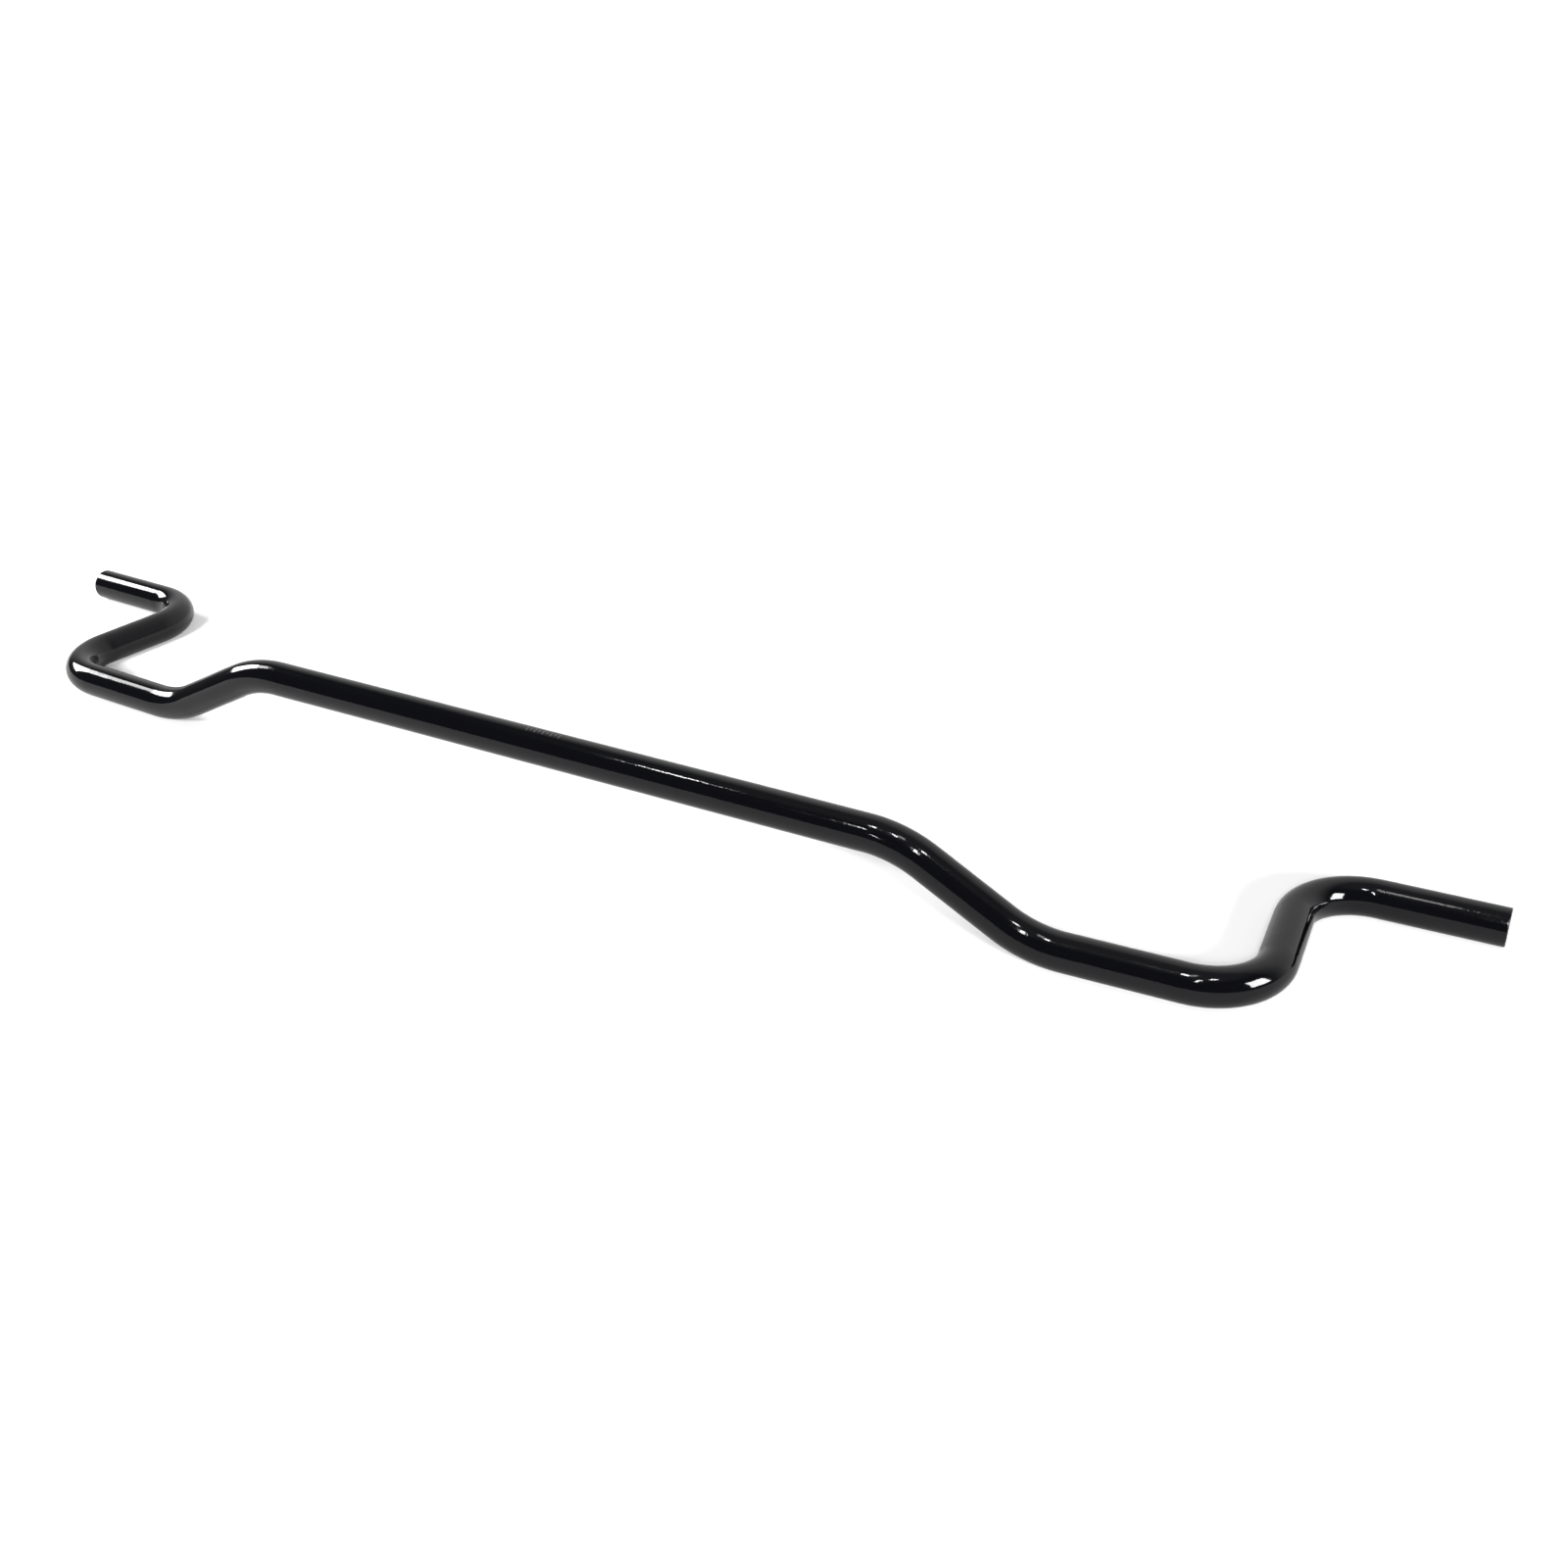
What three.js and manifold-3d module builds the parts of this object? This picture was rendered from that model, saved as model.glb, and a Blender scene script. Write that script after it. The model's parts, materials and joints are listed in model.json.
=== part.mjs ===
// A sway bar: one round steel bar, bent into a raised centre span, two doglegs, two side arms and
// two plain cut ends. Millimetres, +Z up, X along the car's axle line, Y from the span to the ends.
// The bar is drawn as two mirror-image halves that meet at the middle of the centre span, because the
// real bar works by twisting along that span: one half turns against the other about the span's axis.

import * as THREE from 'three';
import { mergeVertices } from 'three/addons/utils/BufferGeometryUtils.js';
import Module from 'manifold-3d';

// Driving dimensions. X is measured from the middle of the bar, Y from the axis of the centre span.
const BAR_DIAMETER = 25.4;
const SPAN_RISE = 48; // height of the centre span's axis above the axis of the low stretches
const DOGLEG_TOP_X = 266;
const DOGLEG_FOOT_X = 357;
const CORNER = { x: 500, y: 7 }; // where the outer straight turns into the arm
const ELBOW = { x: 486, y: 156 }; // where the arm turns out into the end stub
const CUT_END = { x: 611, y: 162 };
const DOGLEG_BEND_RADIUS = 88; // both radii are those of the bar's centre line
const ARM_BEND_RADIUS = 45;
const RIM_CHAMFER = 0.8;
const HALF_GAP = 0.15; // half of the clearance between the two halves at mid-span

// The origin is on the floor below the middle of the part's outline.
const SPAN_AXIS = { y: -81, z: SPAN_RISE + BAR_DIAMETER / 2 };

// How finely the round bar is faceted.
const SECTION_SIDES = 32;
const DEGREES_PER_STATION = 7.5;

const wasm = await Module();
wasm.setup();

const coat = { color: 0x0b0b0d, roughness: 0.12, metalness: 0 };

// The corners of one half's centre line, from mid-span outwards, with the bend radius at each.
// side is 1 for the half on +X and -1 for its mirror image.
function cornersOf(side) {
  const at = (x, y, z, radius = 0) => ({ point: new THREE.Vector3(side * x, y, z), radius });
  return [
    at(HALF_GAP, 0, 0),
    at(DOGLEG_TOP_X, 0, 0, DOGLEG_BEND_RADIUS),
    at(DOGLEG_FOOT_X, 0, -SPAN_RISE, DOGLEG_BEND_RADIUS),
    at(CORNER.x, CORNER.y, -SPAN_RISE, ARM_BEND_RADIUS),
    at(ELBOW.x, ELBOW.y, -SPAN_RISE, ARM_BEND_RADIUS),
    at(CUT_END.x, CUT_END.y, -SPAN_RISE),
  ];
}

// A straight run of the centre line. along goes from 0 at its start to 1 at its end.
function straightRun(start, end) {
  const heading = end.clone().sub(start).normalize();
  return {
    stations: 1,
    end,
    point: (along) => start.clone().lerp(end, along),
    heading: () => heading.clone(),
  };
}

// A bend at a corner: an arc that is tangent to the headings before and after it.
function bendRun(corner, before, after, radius) {
  const angle = before.angleTo(after);
  const tangentLength = radius * Math.tan(angle / 2);
  const start = corner.clone().addScaledVector(before, -tangentLength);
  const inward = after.clone().addScaledVector(before, -Math.cos(angle)).normalize();
  const centre = start.clone().addScaledVector(inward, radius);
  const turned = (forward, inwards) =>
    before.clone().multiplyScalar(forward).addScaledVector(inward, inwards);
  return {
    stations: Math.ceil(THREE.MathUtils.radToDeg(angle) / DEGREES_PER_STATION),
    start,
    end: corner.clone().addScaledVector(after, tangentLength),
    point: (along) => {
      const swept = angle * along;
      return turned(Math.sin(swept), -Math.cos(swept)).multiplyScalar(radius).add(centre);
    },
    heading: (along) => turned(Math.cos(angle * along), Math.sin(angle * along)),
  };
}

// The straights and bends that join a row of corners, in order.
function runsThrough(corners) {
  const headingFrom = (i) => corners[i + 1].point.clone().sub(corners[i].point).normalize();
  const runs = [];
  let reached = corners[0].point;
  for (let i = 1; i < corners.length - 1; i += 1) {
    const bend = bendRun(corners[i].point, headingFrom(i - 1), headingFrom(i), corners[i].radius);
    runs.push(straightRun(reached, bend.start), bend);
    reached = bend.end;
  }
  runs.push(straightRun(reached, corners.at(-1).point));
  return runs;
}

// The bar's centre line. Its stations are crowded into the bends, where the direction changes, and a
// straight has one at each end, so equal steps of the parameter are equal steps of station number.
class BarCentreLine extends THREE.Curve {
  constructor(runs) {
    super();
    this.runs = runs;
    this.stations = runs.reduce((sum, run) => sum + run.stations, 0);
  }

  getUtoTmapping(share) {
    return share;
  }

  locate(share) {
    let station = share * this.stations;
    for (const run of this.runs.slice(0, -1)) {
      if (station <= run.stations) return { run, along: station / run.stations };
      station -= run.stations;
    }
    const last = this.runs.at(-1);
    return { run: last, along: Math.min(station / last.stations, 1) };
  }

  getPoint(share, target = new THREE.Vector3()) {
    const { run, along } = this.locate(share);
    return target.copy(run.point(along));
  }

  getTangent(share, target = new THREE.Vector3()) {
    const { run, along } = this.locate(share);
    return target.copy(run.heading(along));
  }
}

function solidFrom(geometry) {
  geometry.deleteAttribute('normal');
  geometry.deleteAttribute('uv');
  const merged = mergeVertices(geometry);
  return new wasm.Manifold(new wasm.Mesh({
    numProp: 3,
    vertProperties: new Float32Array(merged.getAttribute('position').array),
    triVerts: new Uint32Array(merged.getIndex().array),
  }));
}

function geometryFrom(solid) {
  const { vertProperties, triVerts } = solid.getMesh();
  const geometry = new THREE.BufferGeometry();
  geometry.setAttribute('position', new THREE.BufferAttribute(vertProperties, 3));
  geometry.setIndex(new THREE.BufferAttribute(triVerts, 1));
  geometry.computeVertexNormals();
  return geometry;
}

// The round bar itself: a circle carried along the centre line.
function roundBar(centreLine) {
  const circle = new THREE.Shape();
  circle.absarc(0, 0, BAR_DIAMETER / 2, 0, 2 * Math.PI);
  return new THREE.ExtrudeGeometry(circle, {
    steps: centreLine.stations,
    extrudePath: centreLine,
    curveSegments: SECTION_SIDES / 2, // a full circle takes two sides for each curve segment
  });
}

// The ring of metal that the chamfer takes off the rim of a cut end. It is turned about its own Y
// axis, which is then laid along the bar's heading, with its zero height on the cut face.
function rimCutter(end, heading) {
  const radius = BAR_DIAMETER / 2;
  const spare = RIM_CHAMFER; // how far the ring stands clear of the bar, so that it cuts cleanly
  const profile = [
    new THREE.Vector2(radius - RIM_CHAMFER, 0),
    new THREE.Vector2(radius + spare, -RIM_CHAMFER - spare),
    new THREE.Vector2(radius + spare, spare),
    new THREE.Vector2(radius - RIM_CHAMFER, spare),
    new THREE.Vector2(radius - RIM_CHAMFER, 0),
  ];
  const ring = new THREE.LatheGeometry(profile, SECTION_SIDES);
  ring.applyQuaternion(new THREE.Quaternion().setFromUnitVectors(THREE.Object3D.DEFAULT_UP, heading));
  ring.translate(end.x, end.y, end.z);
  return ring;
}

function halfBar(name, side) {
  const centreLine = new BarCentreLine(runsThrough(cornersOf(side)));
  const cutter = rimCutter(centreLine.getPoint(1), centreLine.getTangent(1));
  const solid = solidFrom(roundBar(centreLine)).subtract(solidFrom(cutter));
  const mesh = new THREE.Mesh(geometryFrom(solid), new THREE.MeshStandardMaterial(coat));
  mesh.name = name;
  return mesh;
}

const swayBar = new THREE.Group();
swayBar.position.set(0, SPAN_AXIS.y, SPAN_AXIS.z);
swayBar.add(halfBar('left_bar_half', -1));
swayBar.add(halfBar('right_bar_half', 1));

export default swayBar;
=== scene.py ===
# %% [markdown]
# # A bare sway bar on a white studio floor
#
# A sway bar ties a car's left and right wheels together. It is one round steel bar with no joint or
# weld in it: it is cut to length, bent to shape, sprayed with powder and baked until the powder melts
# into a gloss black coat. When one wheel rises, the bar twists along its centre span and lifts the
# other wheel too. The imported CAD model has it as two halves that meet at mid-span, so that MuJoCo can
# turn one against the other. Here it becomes one unbroken surface.

import json
import math

import bpy
import numpy as np
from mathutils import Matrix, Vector


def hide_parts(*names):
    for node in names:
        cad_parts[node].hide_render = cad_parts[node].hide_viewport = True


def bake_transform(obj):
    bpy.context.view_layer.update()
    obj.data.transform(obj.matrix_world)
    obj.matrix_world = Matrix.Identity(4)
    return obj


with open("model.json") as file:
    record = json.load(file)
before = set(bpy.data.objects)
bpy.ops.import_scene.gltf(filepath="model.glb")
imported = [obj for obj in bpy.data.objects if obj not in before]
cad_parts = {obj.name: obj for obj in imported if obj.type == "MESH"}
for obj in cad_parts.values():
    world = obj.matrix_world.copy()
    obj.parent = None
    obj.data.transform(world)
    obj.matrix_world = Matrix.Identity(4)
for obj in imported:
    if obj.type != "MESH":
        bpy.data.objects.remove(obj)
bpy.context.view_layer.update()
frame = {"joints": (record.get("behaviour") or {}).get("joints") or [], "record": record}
MM = 0.001

# %% [markdown]
# ## The camera
#
# The bar is long and thin, so it is looked at along its length from the right front corner and from
# above, near enough for the far end to look smaller. The camera stands almost in the plane of the
# right cut end, which is why that end shows as a straight edge and not as a disc.

# %% Camera
CAMERA_PLACE = Vector((0.680, -0.978, 0.612))
CAMERA_TURN = math.radians(28.91)  # to the left of straight along +Y
CAMERA_TILT = math.radians(27.43)  # below the horizon
CAMERA_LENS = 41.6  # mm
SENSOR_WIDTH = 36  # mm

camera = bpy.data.objects.new("camera", bpy.data.cameras.new("camera"))
camera.data.lens = CAMERA_LENS
camera.data.sensor_width = SENSOR_WIDTH
camera.location = CAMERA_PLACE
camera.rotation_euler = (math.radians(90) - CAMERA_TILT, 0, CAMERA_TURN)
bpy.context.scene.collection.objects.link(camera)
bpy.context.scene.camera = camera
print("the camera stands", round(camera.location.length, 2), "m from the origin")

# %% [markdown]
# ## The centre line
#
# A bent bar is fully described by the line through its middle: straights joined by arcs that are
# tangent to both neighbours. Drawing a curve object through hand-placed points would give bends
# that bulge, so the line is worked out the way a bending machine is set: corners and radii. The
# frame already says where the bar ends, which line it twists about and how thick it is. The cut
# end's mount lies in the middle of the bar, one radius above the floor.

# %% Corners of the right half, from mid-span outwards
cut_end = Vector(next(m["pos_m"] for m in frame["record"]["mounts"] if m["name"] == "right_cut_end"))
twist = frame["joints"][0]
SPAN_AXIS = Vector(twist["pos_m"])
RADIUS = cut_end.z
LOW = RADIUS  # height of the centre line where the bar lies on the floor

DOGLEG_TOP_X = 266 * MM
DOGLEG_FOOT_X = 357 * MM
CORNER = (500 * MM, 7 * MM)  # from mid-span along X, and from the span's line along Y
ELBOW = (486 * MM, 156 * MM)
DOGLEG_BEND_RADIUS = 88 * MM
ARM_BEND_RADIUS = 45 * MM

corners = np.array([
    SPAN_AXIS,
    (DOGLEG_TOP_X, SPAN_AXIS.y, SPAN_AXIS.z),
    (DOGLEG_FOOT_X, SPAN_AXIS.y, LOW),
    (CORNER[0], SPAN_AXIS.y + CORNER[1], LOW),
    (ELBOW[0], SPAN_AXIS.y + ELBOW[1], LOW),
    cut_end,
])
bend_radii = [DOGLEG_BEND_RADIUS, DOGLEG_BEND_RADIUS, ARM_BEND_RADIUS, ARM_BEND_RADIUS]
print("bar diameter", round(2 * RADIUS / MM, 1), "mm, centre span raised by",
      round((SPAN_AXIS.z - LOW) / MM, 1), "mm")


# %% Straights and bends as runs of known length
def unit(vector):
    """The same direction, with a length of 1."""
    return vector / np.linalg.norm(vector)


def measure_runs(corners, radii):
    """Splits the corner list into runs. At a corner of angle t and radius r, the arc starts
    r tan(t/2) before the corner, ends as far after it, and is r t long."""
    runs = []
    reached = corners[0]
    for before, corner, after, radius in zip(corners, corners[1:], corners[2:], radii):
        heading, leaving = unit(corner - before), unit(after - corner)
        angle = math.acos(heading @ leaving)
        tangent = radius * math.tan(angle / 2)
        start = corner - tangent * heading
        inward = unit(leaving - math.cos(angle) * heading)
        runs.append(dict(start=reached, heading=heading, length=np.linalg.norm(start - reached)))
        runs.append(dict(start=start, heading=heading, inward=inward, radius=radius,
                         length=radius * angle))
        reached = corner + tangent * leaving
    runs.append(dict(start=reached, heading=unit(corners[-1] - reached),
                     length=np.linalg.norm(corners[-1] - reached)))
    return runs


runs = measure_runs(corners, bend_radii)
HALF_LENGTH = sum(run["length"] for run in runs)
print("the bar is", round(2 * HALF_LENGTH / MM), "mm long before bending")


# %% Points, headings and bend directions anywhere along the bar
def along_half(distance):
    """For distances from mid-span along the right half: the point, the heading, and the bend,
    which points to the inside of an arc and is as long as the share of the tightest curvature.
    In an arc the point is start + r sin(a) heading + r (1 - cos(a)) inward, with a = distance/r."""
    point, heading, bend = (np.zeros((len(distance), 3)) for _ in range(3))
    reached = 0.0
    for run in runs:
        here = distance >= reached
        gone = (distance[here] - reached)[:, None]
        if "radius" in run:
            angle = gone / run["radius"]
            sine, cosine = np.sin(angle), np.cos(angle)
            point[here] = run["start"] + run["radius"] * (
                sine * run["heading"] + (1 - cosine) * run["inward"])
            heading[here] = cosine * run["heading"] + sine * run["inward"]
            bend[here] = (cosine * run["inward"] - sine * run["heading"]) * (
                ARM_BEND_RADIUS / run["radius"])
        else:
            point[here] = run["start"] + gone * run["heading"]
            heading[here] = run["heading"]
            bend[here] = 0
        reached += run["length"]
    return point, heading, bend


def along_bar(distance):
    """The same for the whole bar, from minus to plus the half length. The left half is the right
    one with X turned round, walked the other way."""
    point, heading, bend = along_half(np.abs(distance))
    left = (distance < 0)[:, None]
    mirror, backwards = np.array([-1.0, 1.0, 1.0]), np.array([1.0, -1.0, -1.0])
    return (np.where(left, point * mirror, point), np.where(left, heading * backwards, heading),
            np.where(left, bend * mirror, bend))


# %% [markdown]
# ## The surface
#
# The skin is a grid: one direction walks along the bar, the other goes once round it. Every ring is
# held by two directions at right angles to the heading. Because the bar never points straight up,
# one of them can always be level, so the grid never winds round the bar.
#
# Three small things set a real bent bar apart from a plain swept circle. Bending a solid bar
# squeezes its section, more so in the tight arm bends. The saw-cut ends have a small rounded rim,
# because coat pulls back from a sharp edge. And the maker stamps a row of marks at mid-span before
# coating. All three could be faked with bump, but a reflection follows the true surface, and bump
# leaves the mesh unchanged, so they are in the grid itself. The grid is finer where they need it.

# %% Where the rings go
SIDES = 96
RIM = 0.8 * MM
RIM_RINGS = 8
FACE_RINGS = 10
MARK_CENTRE = -3 * MM
MARK_LENGTH = 30 * MM
STRAIGHT_GAP = 3 * MM  # between one ring and the next
BEND_GAP = 1.5 * MM
MARK_GAP = 0.2 * MM


def ring_distances():
    """Distances from mid-span of all rings, at the gaps given above. The last two on each side stand
    close together, so that the smooth shading of the rim doesn't run on along the bar."""
    reached = np.cumsum([0.0] + [run["length"] for run in runs])
    right = [np.arange(a, b, BEND_GAP if "radius" in run else STRAIGHT_GAP)
             for run, a, b in zip(runs, reached, reached[1:])]
    right = np.concatenate(right + [[HALF_LENGTH - 1.5 * RIM, HALF_LENGTH - RIM]])
    marks = np.arange(MARK_CENTRE - MARK_LENGTH / 2, MARK_CENTRE + MARK_LENGTH / 2, MARK_GAP)
    everywhere = np.concatenate([-right, right, marks])
    everywhere = np.unique(np.round(everywhere, 6))
    return everywhere[np.abs(everywhere) <= HALF_LENGTH - RIM]


distances = ring_distances()
turns = np.linspace(0, 2 * math.pi, SIDES, endpoint=False)
print(len(distances), "rings of", SIDES, "points")


# %% [markdown]
# ## Stamped marks
#
# A steel stamp leaves narrow strokes with sloping walls, and the coat rounds their edges further.
# Letters could be cut with a text object, but they would have to say something. Here the row is
# made of plain slanted strokes, tall and short by turns, as a depth worked out for each point of the
# grid. The same depth later tells the coat where to look grey and dull.

# %% How far each point is pressed in
MARK_STROKES = 9
MARK_DEPTH = 0.15 * MM
STROKE_WIDTH = 0.65 * MM
STROKE_REACH = math.radians(12)  # half the angle that a tall stroke takes up round the bar
SHORT_STROKE = 0.6  # of a tall one's reach
STROKE_SLANT = 2 * MM  # how far a stroke leans along the bar for each radian round it
STROKE_BOTTOM = 0.4  # share of the width at full depth
STROKE_FADE = 0.15  # share of the reach over which an end fades, inside and outside it


def smooth_step(low, high, value):
    """From 0 below low to 1 above high, as 3 s squared less 2 s cubed, with s the share between."""
    share = np.clip((value - low) / (high - low), 0, 1)
    return share * share * (3 - 2 * share)


def pressed_in(distance, turn):
    """How far each point of the grid is pressed in, from 0 to 1: a row of strokes across the top of
    the bar, tall and short by turns. Each is full depth along its own middle line, and fades out
    over its width and at both its ends."""
    number = np.arange(MARK_STROKES)
    centres = MARK_CENTRE + MARK_LENGTH * ((number + 0.5) / MARK_STROKES - 0.5)
    reach = STROKE_REACH * np.where(number % 2 == 0, 1.0, SHORT_STROKE)
    off_top = (turn + math.pi) % (2 * math.pi) - math.pi
    off_line = np.abs(distance[:, None, None] - centres - STROKE_SLANT * off_top[None, :, None])
    across = 1 - smooth_step(STROKE_BOTTOM * STROKE_WIDTH, STROKE_WIDTH, off_line)
    ends = 1 - smooth_step(1 - STROKE_FADE, 1 + STROKE_FADE, np.abs(off_top[:, None]) / reach)
    return (across * ends[None]).max(axis=2)


deepest = MARK_DEPTH * pressed_in(distances, turns).max()
print(MARK_STROKES, "strokes, pressed in by up to", round(deepest / MM, 2), "mm")


# %% The bar's skin
SQUEEZE = 0.012  # share by which the tightest bend flattens the section


def ring_axes(heading):
    """The level direction across the bar, and the direction at right angles to both, which points
    up on any level stretch."""
    across = np.cross(heading, (0.0, 0.0, 1.0))
    across /= np.linalg.norm(across, axis=1, keepdims=True)
    return across, np.cross(across, heading)


def skin_points(distance, turn):
    """Ring centre plus r times the direction at that turn round the bar. r is the bar's radius,
    less the squeeze of the bend times the squared cosine to the bend's inside, less the marks."""
    point, heading, bend = along_bar(distance)
    across, upward = ring_axes(heading)
    direction = (np.cos(turn)[None, :, None] * upward[:, None, :]
                 + np.sin(turn)[None, :, None] * across[:, None, :])
    squeeze = SQUEEZE * np.sum(direction * bend[:, None, :], axis=2) ** 2
    radius = RADIUS * (1 - squeeze) - MARK_DEPTH * pressed_in(distance, turn)
    return point[:, None, :] + radius[:, :, None] * direction


def end_rings(side):
    """Rings from the last full ring to the middle of the cut face, on the right (side 1) or the
    left (side -1): a quarter round of the rim's radius, then a flat face that shrinks to nothing."""
    quarter = np.linspace(0, math.pi / 2, RIM_RINGS + 1)[1:]
    inset = np.concatenate([RIM * (1 - np.cos(quarter)),
                            np.linspace(RIM, RADIUS, FACE_RINGS + 2)[1:-1]])
    setback = np.concatenate([RIM * (1 - np.sin(quarter)), np.zeros(FACE_RINGS)])
    point, heading, _ = along_bar(np.full(len(inset), side * HALF_LENGTH))
    across, upward = ring_axes(heading)
    direction = (np.cos(turns)[None, :, None] * upward[:, None, :]
                 + np.sin(turns)[None, :, None] * across[:, None, :])
    centre = point - side * setback[:, None] * heading
    return centre[:, None, :] + (RADIUS - inset)[:, None, None] * direction


rings = np.concatenate([end_rings(-1)[::-1], skin_points(distances, turns), end_rings(1)])
poles = along_bar(np.array([-HALF_LENGTH, HALF_LENGTH]))[0]
print("skin grid", rings.shape[:2])


# %% [markdown]
# ## From grid to mesh
#
# The grid becomes quads, closed round the bar, and a fan of triangles closes each cut face. The mesh
# also carries three values that the coat reads: how deep the marks are, how far a point is on a cut
# end, and each point's place at rest. A pattern tied to the place stays on the steel when the bar
# twists. The volume is measured because it comes out negative when faces point inwards.

# %% Faces, and the mesh
def grid_faces(rows, columns):
    """Quads between neighbouring rings, closed round the bar, and a fan of triangles from each
    pole to the ring next to it. The poles are the last two points."""
    index = np.arange(rows * columns).reshape(rows, columns)
    beside = np.roll(index, -1, axis=1)
    quads = np.stack([index[:-1], index[1:], beside[1:], beside[:-1]], axis=-1).reshape(-1, 4)
    first, last = rows * columns, rows * columns + 1
    left_fan = np.stack([np.full(columns, first), index[0], beside[0]], axis=-1)
    right_fan = np.stack([np.full(columns, last), beside[-1], index[-1]], axis=-1)
    return quads.tolist() + left_fan.tolist() + right_fan.tolist()


def closed_volume(mesh):
    """Sum over all triangles of the volume of the cone to the origin, positive if they face out."""
    mesh.calc_loop_triangles()
    points = np.empty(3 * len(mesh.vertices), np.float32)
    mesh.vertices.foreach_get("co", points)
    triangles = np.empty(3 * len(mesh.loop_triangles), np.int32)
    mesh.loop_triangles.foreach_get("vertices", triangles)
    points = points.reshape(-1, 3).astype(float)
    a, b, c = (points[triangles[corner::3]] for corner in range(3))
    return np.einsum("ij,ij->i", a, np.cross(b, c)).sum() / 6


def point_values():
    """For each point of the mesh: how far it is pressed in by the marks, and how far it is on a cut
    end, from 0 on the bar's side, evenly round the rim, to 1 on the flat face."""
    end = RIM_RINGS + FACE_RINGS
    marks = np.zeros(rings.shape[:2])
    marks[end:-end] = pressed_in(distances, turns)
    round_rim = np.minimum(np.arange(1, end + 1) / RIM_RINGS, 1)[:, None]
    cut = np.zeros(rings.shape[:2])
    cut[:end] = round_rim[::-1]
    cut[-end:] = round_rim
    return np.append(marks.ravel(), (0, 0)), np.append(cut.ravel(), (1, 1))


def make_bar():
    """The skin as one smooth-shaded piece, with its three values for the coat."""
    mesh = bpy.data.meshes.new("bar")
    points = np.concatenate([rings.reshape(-1, 3), poles])
    mesh.from_pydata(points.tolist(), [], grid_faces(*rings.shape[:2]))
    mesh.shade_smooth()
    for name, values in zip(("marks", "cut"), point_values()):
        mesh.attributes.new(name, "FLOAT", "POINT").data.foreach_set("value", values)
    mesh.attributes.new("place", "FLOAT_VECTOR", "POINT").data.foreach_set("vector", points.ravel())
    bar = bpy.data.objects.new("bar", mesh)
    bpy.context.scene.collection.objects.link(bar)
    return bar


bar = make_bar()
volume = closed_volume(bar.data)
print("the bar holds", round(volume * 1e6), "cubic centimetres and has", len(bar.data.polygons), "faces")

# %% [markdown]
# ## Gloss black coat
#
# Powder coat is a clear-faced plastic skin over black pigment. It isn't a mirror: as the powder
# melts it draws into low hills a few millimetres apart, called orange peel, which break the edges of
# every reflection into a ragged line. The pigment is so dark that nearly all that is seen of the bar
# is what it reflects. So the work goes into the bump and the roughness, not into the colour.
#
# Two places are duller than the rest, because the coat lies thin on them: the stamped marks, which
# also look grey, and the cut ends, where the lines of the saw show through. They could be separate
# materials, but the change would be a hard line. So the shader mixes by the mesh's own values.


# %% Node helpers
def new_material(name):
    """A new material, with its node tree and its shader."""
    material = bpy.data.materials.new(name)
    material.use_nodes = True
    return material, material.node_tree, material.node_tree.nodes["Principled BSDF"]


def add_node(tree, kind, inputs=None, **settings):
    """A new node with its settings and the values of its unlinked inputs."""
    node = tree.nodes.new(kind)
    for name, value in settings.items():
        setattr(node, name, value)
    for name, value in (inputs or {}).items():
        node.inputs[name].default_value = value
    return node


def noise(tree, place, cell, detail=2.0, roughness=0.5):
    """Cloudy noise whose blobs are about one cell across, in metres."""
    node = add_node(tree, "ShaderNodeTexNoise",
                    {"Scale": 1 / cell, "Detail": detail, "Roughness": roughness})
    tree.links.new(place, node.inputs["Vector"])
    return node.outputs["Fac"]


def spread(tree, value, low, high, to_low, to_high):
    """Spreads low to high over to_low to to_high in a straight line, and stops at both ends."""
    node = add_node(tree, "ShaderNodeMapRange", {"From Min": low, "From Max": high,
                                                 "To Min": to_low, "To Max": to_high})
    tree.links.new(value, node.inputs["Value"])
    return node.outputs["Result"]


def larger_of(tree, one, other):
    """The larger of two values, point by point."""
    node = add_node(tree, "ShaderNodeMath", operation="MAXIMUM")
    tree.links.new(one, node.inputs[0])
    tree.links.new(other, node.inputs[1])
    return node.outputs[0]


def bump(tree, height, depth, below=None):
    """Raises the surface by up to depth metres, on top of the bump below it."""
    node = add_node(tree, "ShaderNodeBump", {"Strength": 1.0, "Distance": depth})
    tree.links.new(height, node.inputs["Height"])
    if below is not None:
        tree.links.new(below, node.inputs["Normal"])
    return node.outputs["Normal"]


# %% Colour and dullness of the coat
COAT_IOR = 1.44
BLACK = (0.0008, 0.0009, 0.0016, 1)
MARK_GREY = (0.06, 0.06, 0.06, 1)
SMEAR_SIZE = 30 * MM
SMEAR_NOISE = (0.35, 0.7)  # the part of the noise that makes the smears
COAT_ROUGHNESS = (0.055, 0.09)  # outside the smears and in them
MARK_ROUGHNESS = 0.5
CUT_ROUGHNESS = 0.3  # reached halfway round the rim


def colour_the_coat(tree, shader, marks):
    """Black, turning grey with the depth of the marks."""
    colour = add_node(tree, "ShaderNodeMix", data_type="RGBA")
    colour.inputs["A"].default_value = BLACK
    colour.inputs["B"].default_value = MARK_GREY
    tree.links.new(marks, colour.inputs["Factor"])
    tree.links.new(colour.outputs["Result"], shader.inputs["Base Color"])


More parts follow.
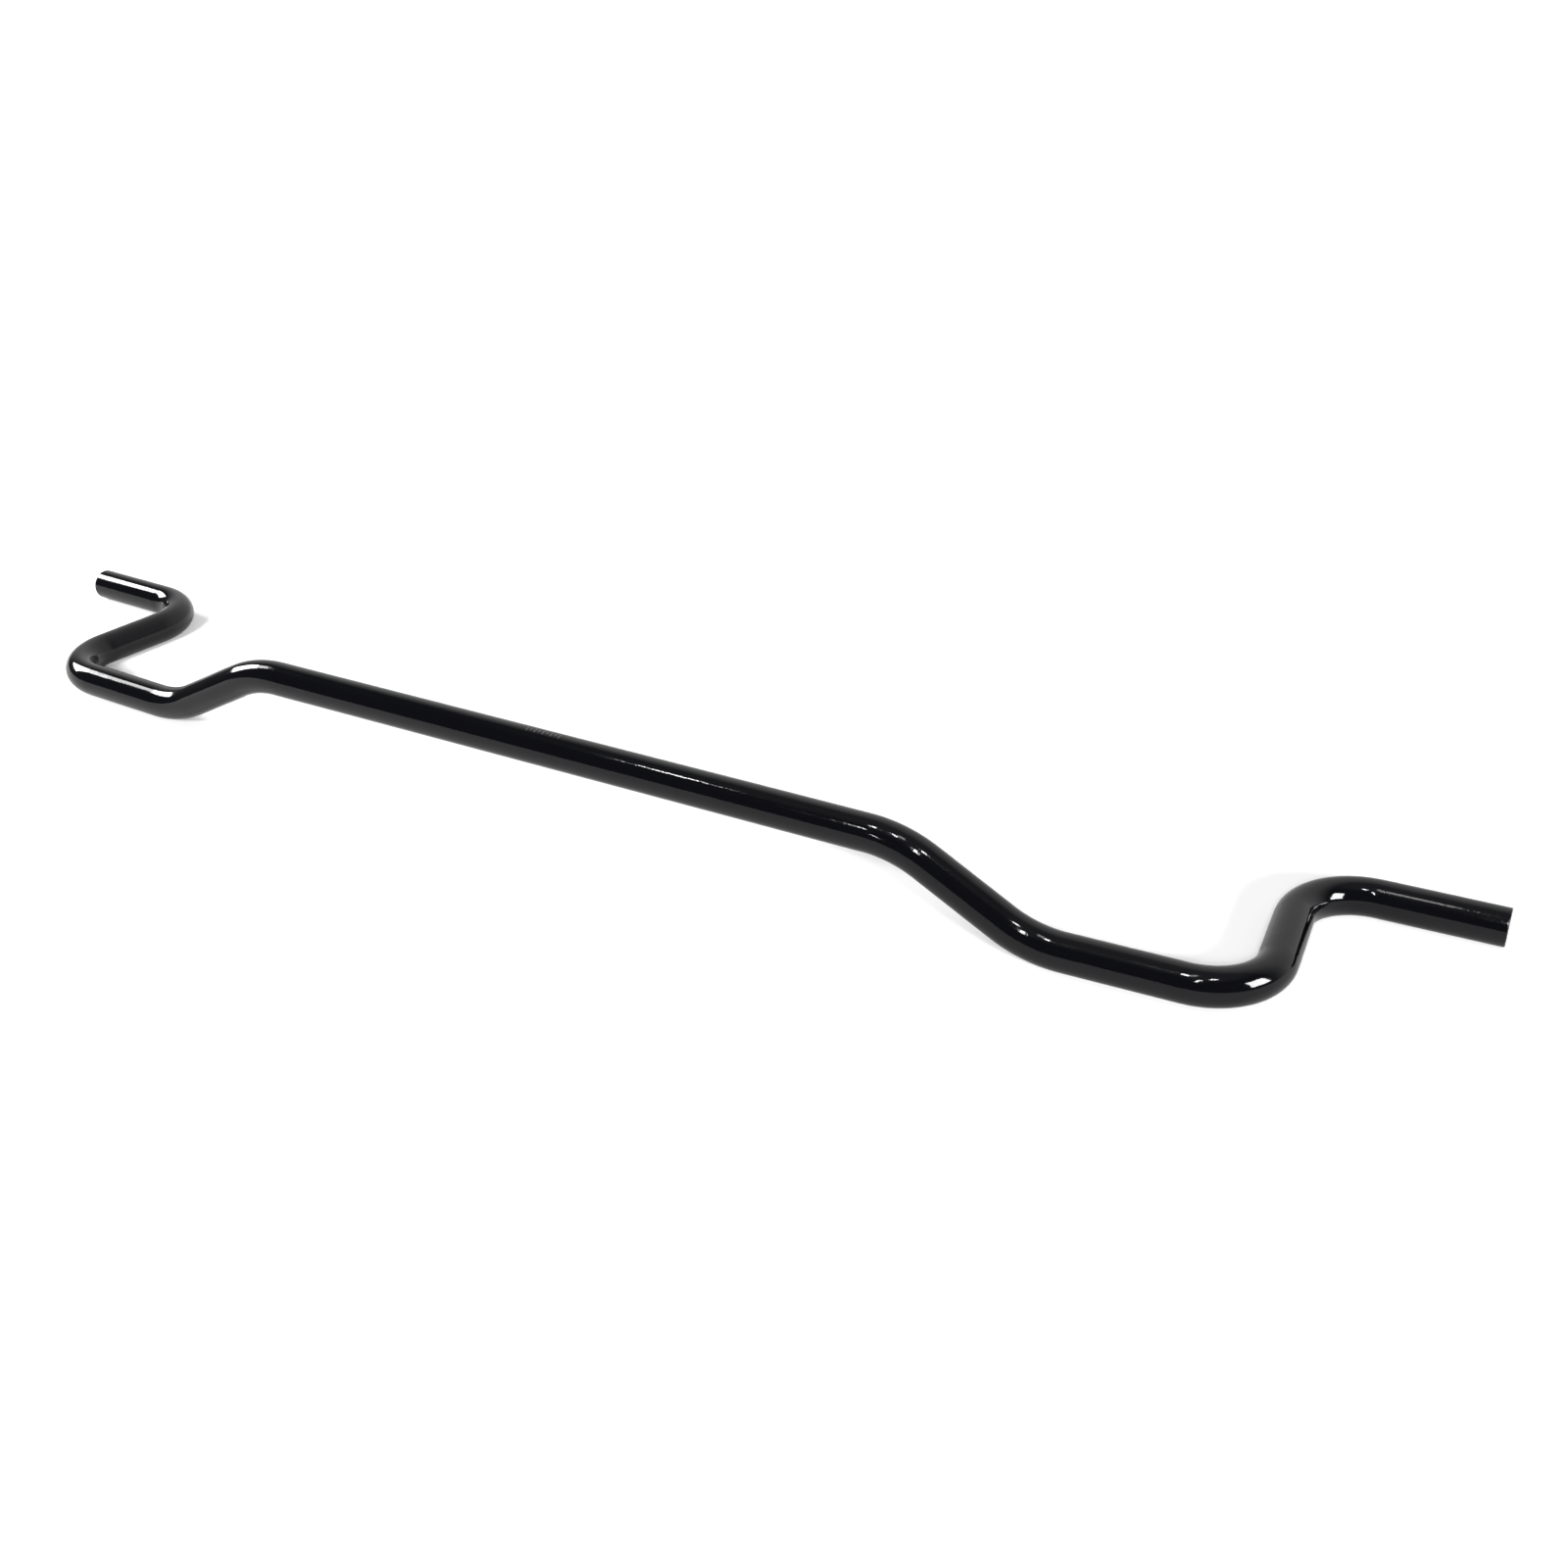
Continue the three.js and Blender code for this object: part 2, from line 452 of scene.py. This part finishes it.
def dull_the_coat(tree, shader, place, marks, cut):
    """The roughness: the largest of the smears', the marks' and the cut ends'."""
    smears = spread(tree, noise(tree, place, SMEAR_SIZE, detail=4), *SMEAR_NOISE, *COAT_ROUGHNESS)
    dull_marks = spread(tree, marks, 0, 1, 0, MARK_ROUGHNESS)
    dull_ends = spread(tree, cut, 0, 0.5, 0, CUT_ROUGHNESS)
    dull = larger_of(tree, dull_marks, dull_ends)
    tree.links.new(larger_of(tree, smears, dull), shader.inputs["Roughness"])


# %% Relief of the coat
HILL_SIZE = 9 * MM
HILL_HEIGHT = 0.065 * MM
PEEL_SIZE = 2 * MM
PEEL_HEIGHT = 0.028 * MM
SAW_SCALE = 120  # makes lines 2.6 mm apart
SAW_WAVINESS = 1.5
SAW_DEPTH = 0.06 * MM


def raise_the_coat(tree, shader, place, cut):
    """Low hills, finer orange peel on top of them, and the lines of the saw on the cut ends only."""
    hills = bump(tree, noise(tree, place, HILL_SIZE, detail=1), HILL_HEIGHT)
    peel = bump(tree, noise(tree, place, PEEL_SIZE, detail=2), PEEL_HEIGHT, below=hills)
    saw = add_node(tree, "ShaderNodeTexWave",
                   {"Scale": SAW_SCALE, "Distortion": SAW_WAVINESS, "Detail": 2.0},
                   wave_type="BANDS", bands_direction="Z")
    tree.links.new(place, saw.inputs["Vector"])
    sawn = add_node(tree, "ShaderNodeMath", operation="MULTIPLY")
    tree.links.new(saw.outputs["Fac"], sawn.inputs[0])
    tree.links.new(cut, sawn.inputs[1])
    tree.links.new(bump(tree, sawn.outputs[0], SAW_DEPTH, below=peel), shader.inputs["Normal"])


# %% The coat, put on the bar
def gloss_black_coat():
    """The whole finish. It reads the mesh's own values, so it moves with the steel."""
    material, tree, shader = new_material("gloss_black_coat")
    place = add_node(tree, "ShaderNodeAttribute", attribute_name="place").outputs["Vector"]
    marks = add_node(tree, "ShaderNodeAttribute", attribute_name="marks").outputs["Fac"]
    cut = add_node(tree, "ShaderNodeAttribute", attribute_name="cut").outputs["Fac"]
    shader.inputs["IOR"].default_value = COAT_IOR
    colour_the_coat(tree, shader, marks)
    dull_the_coat(tree, shader, place, marks, cut)
    raise_the_coat(tree, shader, place, cut)
    return material


bar.data.materials.append(gloss_black_coat())
print("coat made, with", len(bar.data.materials[0].node_tree.nodes), "nodes")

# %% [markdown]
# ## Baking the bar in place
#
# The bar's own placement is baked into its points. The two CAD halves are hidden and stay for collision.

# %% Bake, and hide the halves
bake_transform(bar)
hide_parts("left_bar_half", "right_bar_half")

# %% [markdown]
# ## The studio
#
# Black gloss shows the room. A white floor gives the grey band along the underside, and a dark room
# behind the camera keeps the upper half black. A soft box at either end of the bar makes the white
# streaks near the ends, and small lamps and short tubes on the ceiling make the glints on the bends
# and the thin line along the span.
#
# Lights that look right in the gloss would light the floor wrongly, so the two jobs are kept apart.
# The boxes and lamps are only mirrored, all but the left box, which lights the floor too. In the same
# way, the floor and the room are plain white to the camera and dimmer to the coat, because a coat
# over a truly white floor looks grey.


# %% Floor
FLOOR_SIZE = 60.0
FLOOR_TO_COAT = 0.52  # how white the floor is in the coat's reflections
FLOOR_TO_CAMERA = 0.95
FLOOR_ROUGHNESS = 0.9


def make_floor():
    """One wide sheet of matt white paper under the bar."""
    mesh = bpy.data.meshes.new("floor")
    half = FLOOR_SIZE / 2
    mesh.from_pydata([(-half, -half, 0), (half, -half, 0), (half, half, 0), (-half, half, 0)],
                     [], [(0, 1, 2, 3)])
    floor = bpy.data.objects.new("floor", mesh)
    bpy.context.scene.collection.objects.link(floor)
    material, tree, shader = new_material("floor_paper")
    seen = add_node(tree, "ShaderNodeLightPath").outputs["Is Camera Ray"]
    whiteness = spread(tree, seen, 0, 1, FLOOR_TO_COAT, FLOOR_TO_CAMERA)
    tree.links.new(whiteness, shader.inputs["Base Color"])
    shader.inputs["Roughness"].default_value = FLOOR_ROUGHNESS
    shader.inputs["Specular IOR Level"].default_value = 0.0
    mesh.materials.append(material)


make_floor()
print("floor made,", FLOOR_SIZE, "m on a side")


# %% One light for the gloss
LEFTWARDS = Vector((-1, 0, 0))
RIGHTWARDS = Vector((1, 0, 0))
DOWNWARDS = Vector((0, 0, -1))


def glossy_light(name, place, facing, size, radiance, lights_floor=False):
    """A rectangular light that is seen only in the gloss, unless it lights the floor too. Its power
    is its radiance times pi times its area."""
    light = bpy.data.lights.new(name, "AREA")
    light.shape = "RECTANGLE"
    light.size, light.size_y = size
    light.energy = radiance * math.pi * size[0] * size[1]
    thing = bpy.data.objects.new(name, light)
    thing.location = place
    thing.rotation_euler = facing.to_track_quat("-Z", "Y").to_euler()
    thing.visible_camera = False
    thing.visible_diffuse = lights_floor
    bpy.context.scene.collection.objects.link(thing)


# %% Soft boxes beyond both ends of the bar
BOX_AWAY = 2.0
glossy_light("left_box", place=(-BOX_AWAY, -0.08, 0.96), facing=RIGHTWARDS, size=(0.68, 0.82),
             radiance=30, lights_floor=True)
glossy_light("left_box_halo", place=(-BOX_AWAY, -0.1, 1.58), facing=RIGHTWARDS, size=(0.55, 0.6),
             radiance=12)
glossy_light("right_box", place=(BOX_AWAY, -0.14, 0.74), facing=LEFTWARDS, size=(0.68, 0.84),
             radiance=28)
print("boxes made,", BOX_AWAY, "m from the middle of the bar")

# %% Lamps and tubes on the ceiling
CEILING = 2.5
LAMP_COLUMNS = (-0.42, 0.2, 1.15)
LAMP_ROWS = (-0.67, -0.86)
LAMP_SIZE = (0.18, 0.07)
LAMP_RADIANCE = 90
TUBES = ((-0.98, -2.2, 0.5), (0.85, -1.9, 1.0), (-1.3, -5.0, 1.0))  # X, Y and length of each
TUBE_WIDTH = 0.14
TUBE_RADIANCE = 40

glossy_light("spot", place=(-1.28, -0.75, CEILING), facing=DOWNWARDS, size=(0.12, 0.12),
             radiance=110)
glossy_light("dim_spot", place=(0.41, -0.5, CEILING), facing=DOWNWARDS, size=(0.18, 0.45), radiance=6)
for x in LAMP_COLUMNS:
    for y in LAMP_ROWS:
        glossy_light("spot", (x, y, CEILING), DOWNWARDS, LAMP_SIZE, LAMP_RADIANCE)
for x, y, length in TUBES:
    glossy_light("tube", (x, y, CEILING), DOWNWARDS, (TUBE_WIDTH, length), TUBE_RADIANCE)
print(len(LAMP_COLUMNS) * len(LAMP_ROWS) + 2, "lamps and", len(TUBES), "tubes on the ceiling")

# %% [markdown]
# ## Light on the floor
#
# A wide white floor under lamps nearby would fade with distance, so its light comes from very far
# away and is the same everywhere. Two low fills stand in front of the bar, one nearly straight ahead
# and one to the right. Low light from the front throws the bar's shadows away behind it, and leaves
# the shade that is seen inside both arms. A weak, very wide fill straight above adds the thin dark
# line where the bar touches the floor.


# %% Fills
def floor_light(name, azimuth, elevation, width, strength):
    """A very distant, soft light that shows in no reflection. It stands azimuth degrees to the right
    of the front and elevation degrees up, and is width degrees across. What reaches the floor is its
    strength times the sine of its elevation."""
    light = bpy.data.lights.new(name, "SUN")
    light.energy = strength
    light.angle = math.radians(width)
    thing = bpy.data.objects.new(name, light)
    thing.rotation_euler = (math.radians(90 - elevation), 0, math.radians(azimuth))
    thing.visible_camera = False
    thing.visible_glossy = False
    bpy.context.scene.collection.objects.link(thing)


floor_light("front_fill", azimuth=11, elevation=31.5, width=12, strength=2.95)
floor_light("right_fill", azimuth=50, elevation=22, width=11, strength=4.1)
floor_light("top_fill", azimuth=0, elevation=90, width=100, strength=0.75)
print("three fills made")

# %% [markdown]
# ## The room
#
# Seen from the front, the coat mirrors the dark side of the room over its top, and the bright wall
# behind the bar along its upper edge. Walls and a ceiling could be built, but a background that
# depends only on direction gives the same reflections, with nothing to stand in the lights' way.

# %% Room
DARK_SIDE = 0.09
BACK_WALL = 0.75
BACK_WALL_EDGE = (0.25, 0.65)  # the wall fades in between these shares of straight back
CEILING_GREY = 0.26
CEILING_EDGE = (0.8, 0.93)  # and the ceiling between these shares of straight up


def light_room():
    """A room that is white behind the bar and dark on the camera's side. The brightness is read
    from the direction: its +Y part says how far behind, and its +Z part adds a dim ceiling. The
    camera itself sees plain white, and the room sheds no light of its own on the floor."""
    world = bpy.data.worlds.new("room")
    world.use_nodes = True
    bpy.context.scene.world = world
    tree = world.node_tree
    way = add_node(tree, "ShaderNodeTexCoord").outputs["Generated"]
    parts = add_node(tree, "ShaderNodeSeparateXYZ")
    tree.links.new(way, parts.inputs["Vector"])
    behind = spread(tree, parts.outputs["Y"], *BACK_WALL_EDGE, DARK_SIDE, BACK_WALL)
    above = spread(tree, parts.outputs["Z"], *CEILING_EDGE, DARK_SIDE, CEILING_GREY)
    seen = add_node(tree, "ShaderNodeLightPath").outputs["Is Camera Ray"]
    brightness = larger_of(tree, larger_of(tree, behind, above), seen)
    tree.links.new(brightness, tree.nodes["Background"].inputs["Color"])
    world.cycles_visibility.diffuse = False


light_room()
bpy.context.scene.view_settings.view_transform = "Standard"
print("room made, from", DARK_SIDE, "in front to", BACK_WALL, "behind")
